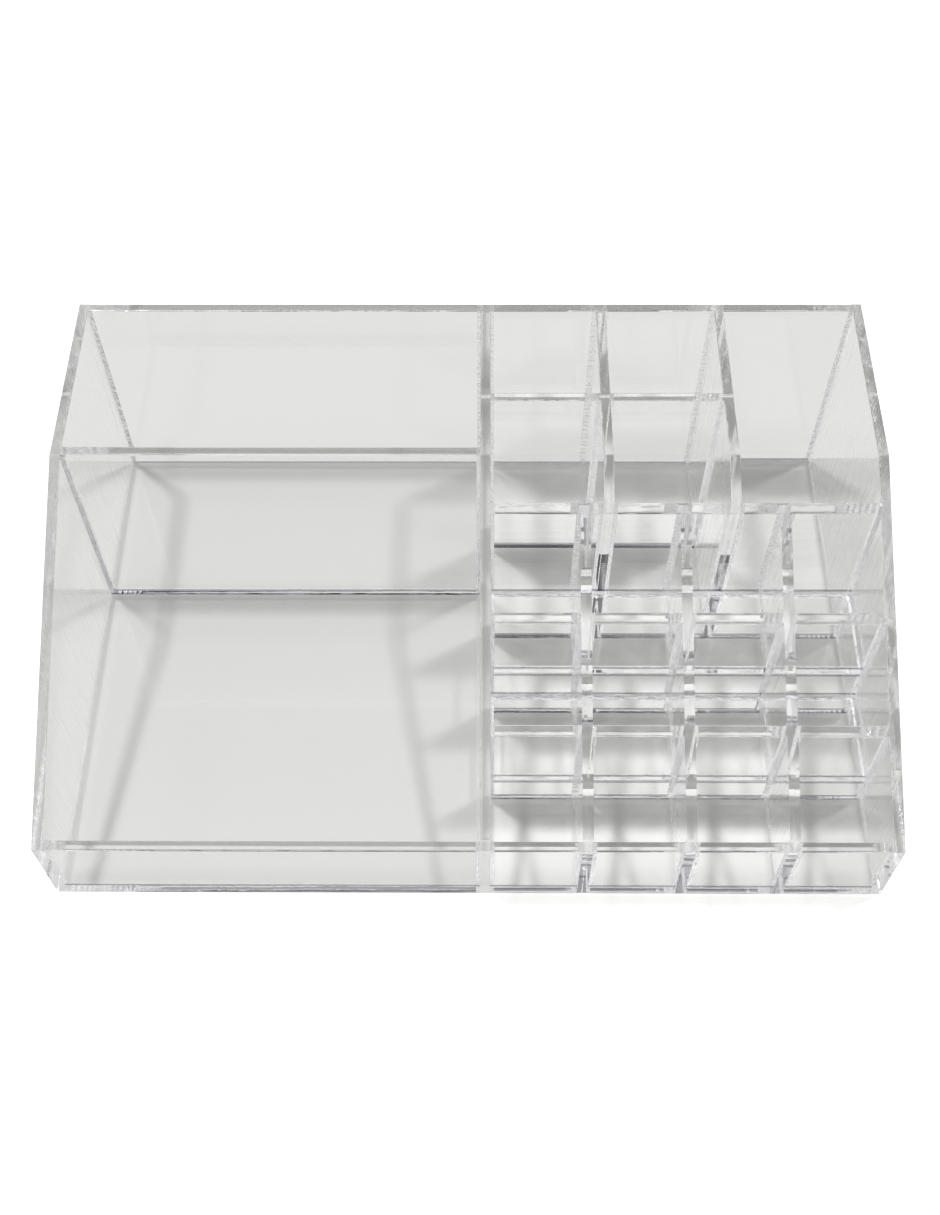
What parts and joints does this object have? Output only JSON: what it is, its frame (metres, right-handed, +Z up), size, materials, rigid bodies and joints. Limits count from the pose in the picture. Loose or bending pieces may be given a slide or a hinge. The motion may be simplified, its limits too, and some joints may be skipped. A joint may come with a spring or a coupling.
{
  "type": "vanity organizer",
  "caption": "Clear acrylic cosmetics organizer with a low tray, a tall pocket, stepped lipstick wells and deep rear compartments under a sloping top.",
  "frame": {"origin": "on the table, below the middle of the organizer's footprint", "axes": "+X to the right along the width, +Y from the front to the back, +Z up"},
  "size_m": [0.24, 0.161, 0.076],
  "materials": {
    "clear_acrylic": "water-clear cast acrylic sheet with flame-polished edges"
  },
  "bodies": {
    "root": {"base_plate": "clear_acrylic", "left_side_panel": "clear_acrylic", "right_side_panel": "clear_acrylic", "back_panel": "clear_acrylic", "front_panel": "clear_acrylic", "main_divider": "clear_acrylic", "pocket_wall": "clear_acrylic", "lipstick_cross_wall_front": "clear_acrylic", "lipstick_cross_wall_middle": "clear_acrylic", "lipstick_cross_wall_back": "clear_acrylic", "lipstick_floor_middle": "clear_acrylic", "lipstick_floor_back": "clear_acrylic", "lipstick_divider_left": "clear_acrylic", "lipstick_divider_middle": "clear_acrylic", "lipstick_divider_right": "clear_acrylic", "rear_divider_left": "clear_acrylic", "rear_divider_right": "clear_acrylic", "rear_cross_wall": "clear_acrylic"}
  },
  "joints": []
}
